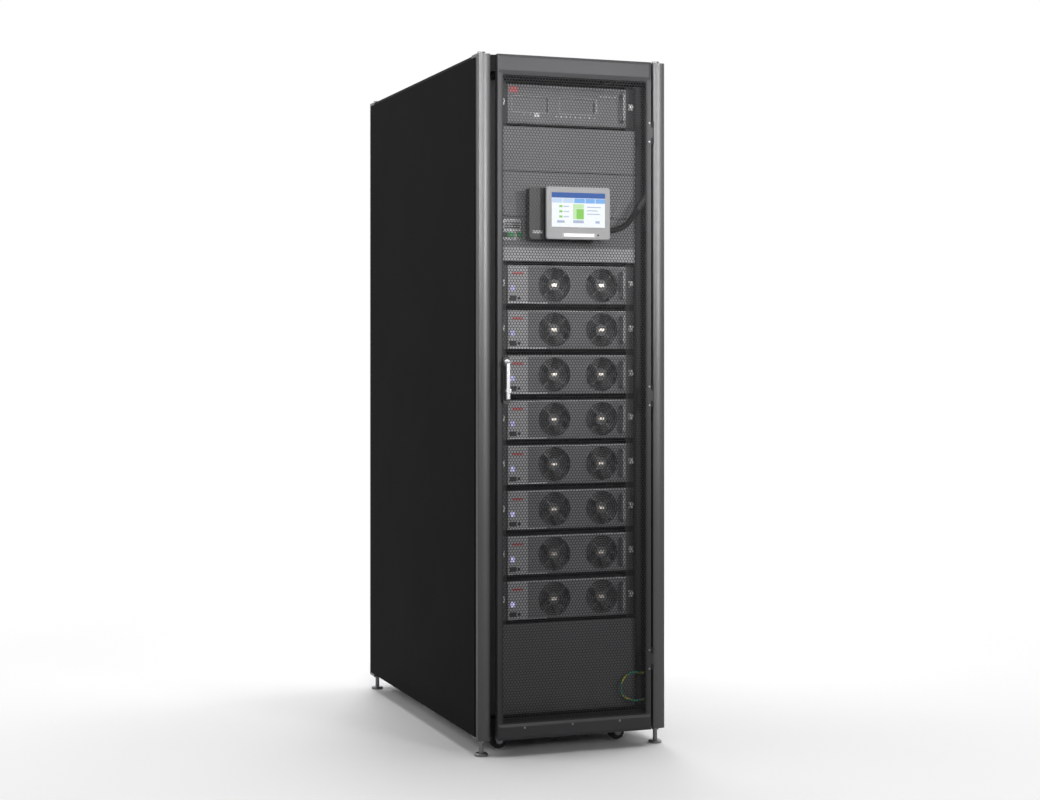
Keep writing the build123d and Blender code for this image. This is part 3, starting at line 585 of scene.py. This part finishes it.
def fanGuard(bm):
    wire = guardSet["wire"]
    for radius in guardSet["rings"]:
        start = bmesh.ops.create_circle(bm, segments=guardSet["wireSides"], radius=wire,
                                        matrix=Matrix.Translation((radius, -wire, 0)))
        bmesh.ops.spin(bm, geom=start["verts"] + linkedEdges(start), cent=(0, -wire, 0), axis=(0, 1, 0),
                       dvec=(0, 0, 0), angle=math.tau, steps=guardSet["ringSteps"], use_merge=True)
    for index in range(guardSet["spokes"]):
        angle = math.radians(guardSet["spokeTurn"] + index * 360 / guardSet["spokes"])
        heading = Vector((math.cos(angle), 0, math.sin(angle)))
        behind = Vector((0, -wire * 0.4, 0))  # spokes lie against the back of the rings
        rod(bm, heading * guardSet["spokeFrom"] + behind, heading * guardSet["spokeTo"] + behind,
            wire * 0.9, None, guardSet["wireSides"])


bm = bmesh.new()
fanGuard(bm)
repeat(bm, fanSpots)
guards = piece("fanGuardWires", bm, "cabinet", guardSteel, 50)
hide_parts("module_fan_guards")

hubSet = {"back": (0, 0.0060, 0), "front": (0, 0.0035, 0), "radius": 0.0185, "frontRadius": 0.0180,
          "sides": 28}
bm = bmesh.new()
rod(bm, hubSet["back"], hubSet["front"], hubSet["radius"], hubSet["frontRadius"], hubSet["sides"])
repeat(bm, fanSpots)
piece("fanHubs", bm, "cabinet", hubGrey, 40)

hubMarkSet = {"low": (-0.0085, 0.0025, -0.0045), "high": (0.0085, 0.0036, 0.0045), "bevel": 0.0005}
blocks("fanHubMarks", [hubMarkSet], fanSpots, "cabinet", hubFoil)

bypassLow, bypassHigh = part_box("bypass_module")
latchSet = {"x": 0.2055, "rise": 0.062, "earSetback": 0.004,
            "plate": {"low": (-0.0075, -0.0025, -0.0095), "high": (0.0075, 0.0, 0.0095),
                      "bevel": 0.0008, "segments": 2},
            "knob": {"low": (-0.0060, -0.0100, -0.0070), "high": (0.0060, -0.0025, 0.0070),
                     "bevel": 0.0016, "segments": 2}}
latchSpots = [Vector((side * latchSet["x"], faceY + latchSet["earSetback"], place.z + latchSet["rise"]))
              for place in modulePlaces + [bypassLow] for side in (-1, 1)]
blocks("earLatches", [latchSet["plate"], latchSet["knob"]], latchSpots, "cabinet", latchGrey)

labelSet = {"low": (-0.1880, -0.0008, 0.0020), "high": (-0.1260, 0.0, moduleHeight - 0.0020),
            "bevel": 0.0003}
blocks("labelPlates", [labelSet], faceSpots, "cabinet", labelPaint)

stripeSet = {"low": (-0.1750, -0.0012, 0.0870), "high": (-0.1410, -0.0008, 0.0935)}
blocks("labelStripes", [stripeSet], faceSpots, "cabinet", stripePaint)

statusSet = {"low": (-0.1800, -0.0022, 0.0390), "high": (-0.1680, -0.0008, 0.0540), "bevel": 0.0006,
             "segments": 2}
blocks("statusLamps", [statusSet], faceSpots, "cabinet", ledLilac)

switchSet = {"rocker": {"low": (-0.1830, -0.0040, 0.0100), "high": (-0.1620, -0.0008, 0.0240),
                        "bevel": 0.0008, "segments": 2},
             "button": {"low": (-0.1580, -0.0030, 0.0130), "high": (-0.1500, -0.0008, 0.0210),
                        "bevel": 0.0006, "segments": 2}}
blocks("readySwitches", switchSet.values(), faceSpots, "cabinet", blackPlastic)

lipSet = {"lower": {"low": (-0.1890, -0.0018, 0.0015), "high": (-0.0650, 0.0, 0.0045), "bevel": 0.0005},
          "upper": {"low": (-0.1890, -0.0012, moduleHeight - 0.0035),
                    "high": (0.1880, 0.0, moduleHeight - 0.0015), "bevel": 0.0004}}
blocks("moduleLips", lipSet.values(), faceSpots, "cabinet", edgePaint)

# Bypass module, measured from the middle of its face: window frames, terminals and a plain mark
bypassSpot = Vector((0, faceY, (bypassLow.z + bypassHigh.z) / 2))
windowSet = {"centres": (-0.1191, 0.0310), "half": (0.0560, 0.0230), "line": 0.0016, "proud": 0.0010,
             "divider": {"low": (0.0900, -0.0020, -0.0210), "high": (0.0950, 0.0, 0.0210), "bevel": 0.0005}}


def windowFrame(x):
    # four bars round an opening, as left, low, right and high
    wide, tall = windowSet["half"]
    outWide, outTall = wide + windowSet["line"], tall + windowSet["line"]
    bars = ((-outWide, tall, outWide, outTall), (-outWide, -outTall, outWide, -tall),
            (-outWide, -tall, -wide, tall), (wide, -tall, outWide, tall))
    return [{"low": (x + left, -windowSet["proud"], low), "high": (x + right, 0.0, high)}
            for left, low, right, high in bars]


windowBars = [bar for x in windowSet["centres"] for bar in windowFrame(x)]
windowBars.append(windowSet["divider"])
blocks("bypassFrames", windowBars, [bypassSpot], "cabinet", labelPaint)

terminalSet = {"row": [(-0.0350 + index * 0.0150, -0.0330) for index in range(9)],
               "pair": [(-0.1380, -0.0300), (-0.1180, -0.0300)],
               "proud": 0.0025, "radius": 0.0026, "frontRadius": 0.0022, "sides": 12,
               "block": {"low": (-0.1060, -0.0020, -0.0370), "high": (-0.0900, 0.0, -0.0250),
                         "bevel": 0.0004},
               "dashes": [0.1000 + index * 0.0160 for index in range(4)], "dashWidth": 0.0110,
               "dashProud": 0.0012, "dashLow": 0.0320, "dashHigh": 0.0345}
bm = bmesh.new()
for x, z in terminalSet["row"] + terminalSet["pair"]:
    rod(bm, (x, 0, z), (x, -terminalSet["proud"], z), terminalSet["radius"], terminalSet["frontRadius"],
        terminalSet["sides"])
slab(bm, **terminalSet["block"])
for x in terminalSet["dashes"]:
    slab(bm, (x, -terminalSet["dashProud"], terminalSet["dashLow"]),
         (x + terminalSet["dashWidth"], 0.0, terminalSet["dashHigh"]))
repeat(bm, [bypassSpot])
piece("bypassTerminals", bm, "cabinet", edgePaint)

markSet = {"low": (-0.1830, -0.0010, 0.0330), "high": (-0.1560, 0.0, 0.0510), "bevel": 0.0003}
blocks("bypassMark", [markSet], [bypassSpot], "cabinet", stripePaint)

# Monitoring unit: a light lower band one rack unit high
monitorLow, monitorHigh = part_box("monitor_unit")
rackUnit = 0.04445
bandSet = {"low": (monitorLow.x + 0.001, -0.0005, 0.0010),
           "high": (monitorHigh.x - 0.001, 0.003, rackUnit - 0.0015), "bevel": 0.0010, "segments": 2}
bandSpot = Vector((0, monitorLow.y, monitorLow.z))
blocks("monitorBand", [bandSet], [bandSpot], "cabinet", bandPaint)

# Card in the unit's recess, measured from the recess's upper left corner
cardSpot = Vector((monitorLow.x + 0.006, monitorLow.y + 0.010, monitorHigh.z - 0.006))
cardSet = {"low": (0.001, -0.0060, -0.0630), "high": (0.061, 0.0, -0.0010), "bevel": 0.0006}
blocks("cardPlate", [cardSet], [cardSpot], "cabinet", labelPaint)

cardEdgeSet = {"front": -0.0080, "back": -0.0060,
               "bars": ((0.001, -0.0060, 0.061, -0.0020), (0.001, -0.0360, 0.061, -0.0330),
                        (0.001, -0.0620, 0.061, -0.0585), (0.001, -0.0140, 0.008, -0.0060))}
cardBars = [{"low": (left, cardEdgeSet["front"], low), "high": (right, cardEdgeSet["back"], high)}
            for left, low, right, high in cardEdgeSet["bars"]]
blocks("cardEdges", cardBars, [cardSpot], "cabinet", edgePaint)

socketSet = {"slots": [-0.0140 - index * 0.0065 for index in range(3)], "slotHeight": 0.0035,
             "left": 0.0100, "right": 0.0560, "front": -0.0065, "back": -0.0060,
             "block": {"low": (0.0030, -0.0095, -0.0540), "high": (0.0150, -0.0060, -0.0400),
                       "bevel": 0.0006}}
cardSlots = [{"low": (socketSet["left"], socketSet["front"], z),
              "high": (socketSet["right"], socketSet["back"], z + socketSet["slotHeight"])}
             for z in socketSet["slots"]]
cardSlots.append(socketSet["block"])
blocks("cardSockets", cardSlots, [cardSpot], "cabinet", blackPlastic)

plugSet = {"rows": ((0.0170, 5), (0.0480, 3)), "pitch": 0.0042, "width": 0.0038, "front": -0.0110,
           "back": -0.0060, "bottom": -0.0540, "top": -0.0400, "bevel": 0.0004}
plugStarts = [start + index * plugSet["pitch"] for start, count in plugSet["rows"] for index in range(count)]
plugs = [{"low": (x, plugSet["front"], plugSet["bottom"]),
          "high": (x + plugSet["width"], plugSet["back"], plugSet["top"]), "bevel": plugSet["bevel"]}
         for x in plugStarts]
blocks("cardTerminals", plugs, [cardSpot], "cabinet", greenPlastic)
print("module fronts dressed")

# Display face: generic tiles, as shares of the screen's width and height from its lower left corner
screenLow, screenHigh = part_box("display_screen")
tileProud = 0.0003
tileSet = {
    "screenHeader": (screenBlue, [(0.0, 0.845, 1.0, 1.0)]),
    "screenTabs": (screenSky, [(0.42, 0.70, 0.62, 0.835), (0.63, 0.70, 0.81, 0.835),
                               (0.82, 0.70, 1.0, 0.835)]),
    "screenTabsPale": (screenPale, [(0.0, 0.70, 0.20, 0.835), (0.21, 0.70, 0.41, 0.835)]),
    "screenFlow": (screenGreen, [(0.46, 0.23, 0.60, 0.53), (0.14, 0.57, 0.20, 0.63),
                                 (0.14, 0.42, 0.20, 0.48), (0.14, 0.27, 0.20, 0.33)]),
    "screenFlowPale": (screenMint, [(0.40, 0.54, 0.60, 0.67), (0.40, 0.23, 0.455, 0.535)]),
    "screenLines": (screenGrey, [(0.10, 0.12, 0.24, 0.19), (0.40, 0.12, 0.60, 0.20),
                                 (0.82, 0.12, 0.90, 0.19), (0.22, 0.585, 0.32, 0.61),
                                 (0.22, 0.435, 0.32, 0.46), (0.22, 0.285, 0.32, 0.31),
                                 (0.66, 0.575, 0.92, 0.60), (0.66, 0.475, 0.86, 0.50),
                                 (0.66, 0.375, 0.90, 0.40)]),
}
screenWidth, screenHeight = screenHigh.x - screenLow.x, screenHigh.z - screenLow.z
for name, (material, tiles) in tileSet.items():
    boxes = [{"low": (left * screenWidth, -tileProud, low * screenHeight),
              "high": (right * screenWidth, 0.0, high * screenHeight)} for left, low, right, high in tiles]
    blocks(name, boxes, [screenLow], "front_door", material)

# Bare bar and button under the screen, measured from the foot of the bezel's face
bezelSpot = Vector((0, displayLow.y, displayLow.z))
barFrameSet = {"low": (-0.0510, -0.0006, 0.0070), "high": (0.0530, 0.001, 0.0190), "bevel": 0.0005}
blocks("barFrame", [barFrameSet], [bezelSpot], "front_door", barGrey)
barSet = {"low": (-0.0450, -0.0012, 0.0090), "high": (0.0480, -0.0004, 0.0170), "bevel": 0.0003}
blocks("blankBar", [barSet], [bezelSpot], "front_door", whitePlastic)
buttonSet = {"back": (0.0620, 0.001, 0.0140), "front": (0.0620, -0.0012, 0.0140), "radius": 0.0032,
             "frontRadius": 0.0028, "sides": 18}
bm = bmesh.new()
rod(bm, buttonSet["back"], buttonSet["front"], buttonSet["radius"], buttonSet["frontRadius"],
    buttonSet["sides"])
repeat(bm, [bezelSpot])
piece("bezelButton", bm, "front_door", blackPlastic, 40)
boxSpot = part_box("display_rear_box")[0]
boxPlateSet = {"low": (0.010, -0.0006, 0.016), "high": (0.040, 0.0, 0.024)}
blocks("boxPlate", [boxPlateSet], [boxSpot], "front_door", greyPlastic)

# Small fixings on the door: screws in the bottom rail and rivets beside each hinge
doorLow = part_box("front_door_frame")[0]
sheetLow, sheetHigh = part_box("front_door_mesh")
screwSet = {"places": (-0.160, -0.010, 0.140), "drop": 0.012, "proud": 0.0020, "radius": 0.0042,
            "frontRadius": 0.0034, "sides": 6}
rivetSet = {"levels": (0.260, 1.048, 1.836), "shifts": (-0.028, 0.028), "outward": 0.006, "proud": 0.0016,
            "radius": 0.0034, "frontRadius": 0.0028, "sides": 14}
bm = bmesh.new()
screwZ = sheetLow.z - screwSet["drop"]
for x in screwSet["places"]:
    rod(bm, (x, doorLow.y, screwZ), (x, doorLow.y - screwSet["proud"], screwZ), screwSet["radius"],
        screwSet["frontRadius"], screwSet["sides"])
rivetX = sheetHigh.x + rivetSet["outward"]
for rivetZ in [level + shift for level in rivetSet["levels"] for shift in rivetSet["shifts"]]:
    rod(bm, (rivetX, sheetLow.y, rivetZ), (rivetX, sheetLow.y - rivetSet["proud"], rivetZ),
        rivetSet["radius"], rivetSet["frontRadius"], rivetSet["sides"])
piece("doorFixings", bm, "front_door", darkZinc, 40)
print("display dressed")

# Floor that fades to white away from the cabinet
floorSet = {"size": 40.0, "colour": (0.86, 0.86, 0.86), "near": 0.6, "far": 3.0}
bm = bmesh.new()
bmesh.ops.create_grid(bm, x_segments=1, y_segments=1, size=floorSet["size"])
floorMesh = bpy.data.meshes.new("floor")
bm.to_mesh(floorMesh)
bm.free()
floor = bpy.data.objects.new("floor", floorMesh)
bpy.context.scene.collection.objects.link(floor)
floorFinish = Finish("floorFinish", Roughness=0.6, Specular_IOR_Level=0.1)
floorCloud = floorFinish.noise(0.8, 3)
floorFinish.feed("Base Color", floorFinish.clouded(floorCloud, floorSet["colour"], 0.985, 1.0))
spot = floorFinish.node("ShaderNodeTexCoord", out="Object")
away = floorFinish.node("ShaderNodeVectorMath", {"operation": "LENGTH"}, {0: spot}, out="Value")
fade = floorFinish.node("ShaderNodeMapRange", {"interpolation_type": "SMOOTHSTEP"},
                        {"Value": away, "From Min": floorSet["near"], "From Max": floorSet["far"]})
glow = floorFinish.node("ShaderNodeEmission", None,
                        {"Color": (1, 1, 1, 1), "Strength": floorFinish.directRays()})
plain = Wire(floorFinish, floorFinish.shader.outputs["BSDF"])
mixed = floorFinish.node("ShaderNodeMixShader", None, {0: fade, 1: plain, 2: glow})
floorFinish.link(mixed, floorFinish.tree.nodes["Material Output"].inputs["Surface"])
floorMesh.materials.append(floorFinish.material)

# World: white where it is looked at, and a faint fill light
worldSet = {"seen": 1.0, "light": 0.10}
world = bpy.data.worlds.new("world")
bpy.context.scene.world = world
world.use_nodes = True
worldNodes = Nodes(world.node_tree)
background = world.node_tree.nodes["Background"]
background.inputs["Color"].default_value = (1, 1, 1, 1)
level = worldNodes.spread(worldNodes.directRays(), worldSet["light"], worldSet["seen"], 0.0, 1.0)
worldNodes.link(level, background.inputs["Strength"])

# Lamps: the two strips stand for the long highlights on the posts
lampSet = {
    "key": {"place": (-0.7, -2.5, 3.1), "aim": (0, -0.5, 1.8), "size": (1.3, 0.9), "power": 3.4,
            "spread": 48},
    "strip": {"place": (1.9, -5.4, 2.25), "aim": (0, -0.6, 1.75), "size": (0.9, 1.4), "power": 15,
              "spread": 50},
    "wideStrip": {"place": (-1.0, -6.0, 2.5), "aim": (-0.28, -0.6, 2.15), "size": (2.4, 1.2), "power": 9,
                  "spread": 28},
    "top": {"place": (0.4, 0.0, 4.8), "aim": (0, 0, 1.0), "size": (3.6, 3.6), "power": 150, "spread": 180},
    "leftFill": {"place": (-3.4, 0.6, 2.6), "aim": (-0.3, 0, 1.2), "size": (2.2, 2.2), "power": 40,
                 "spread": 150},
    "rightFill": {"place": (3.4, 0.6, 2.6), "aim": (0.3, 0, 1.2), "size": (2.2, 2.2), "power": 40,
                  "spread": 150},
    "rearFill": {"place": (0.8, 3.8, 2.6), "aim": (0, 0.6, 1.2), "size": (2.2, 2.2), "power": 60,
                 "spread": 150},
}
for lampName, numbers in lampSet.items():
    lampData = bpy.data.lights.new(lampName, "AREA")
    lampData.shape = "RECTANGLE"
    lampData.size, lampData.size_y = numbers["size"]
    lampData.energy = numbers["power"]
    lampData.spread = math.radians(numbers["spread"])
    lamp = bpy.data.objects.new(lampName, lampData)
    lamp.location = numbers["place"]
    heading = Vector(numbers["aim"]) - Vector(numbers["place"])
    lamp.rotation_euler = heading.to_track_quat("-Z", "Y").to_euler()
    lamp.visible_camera = False
    bpy.context.scene.collection.objects.link(lamp)
print("stage lit")

bpy.context.scene.view_settings.view_transform = "Standard"
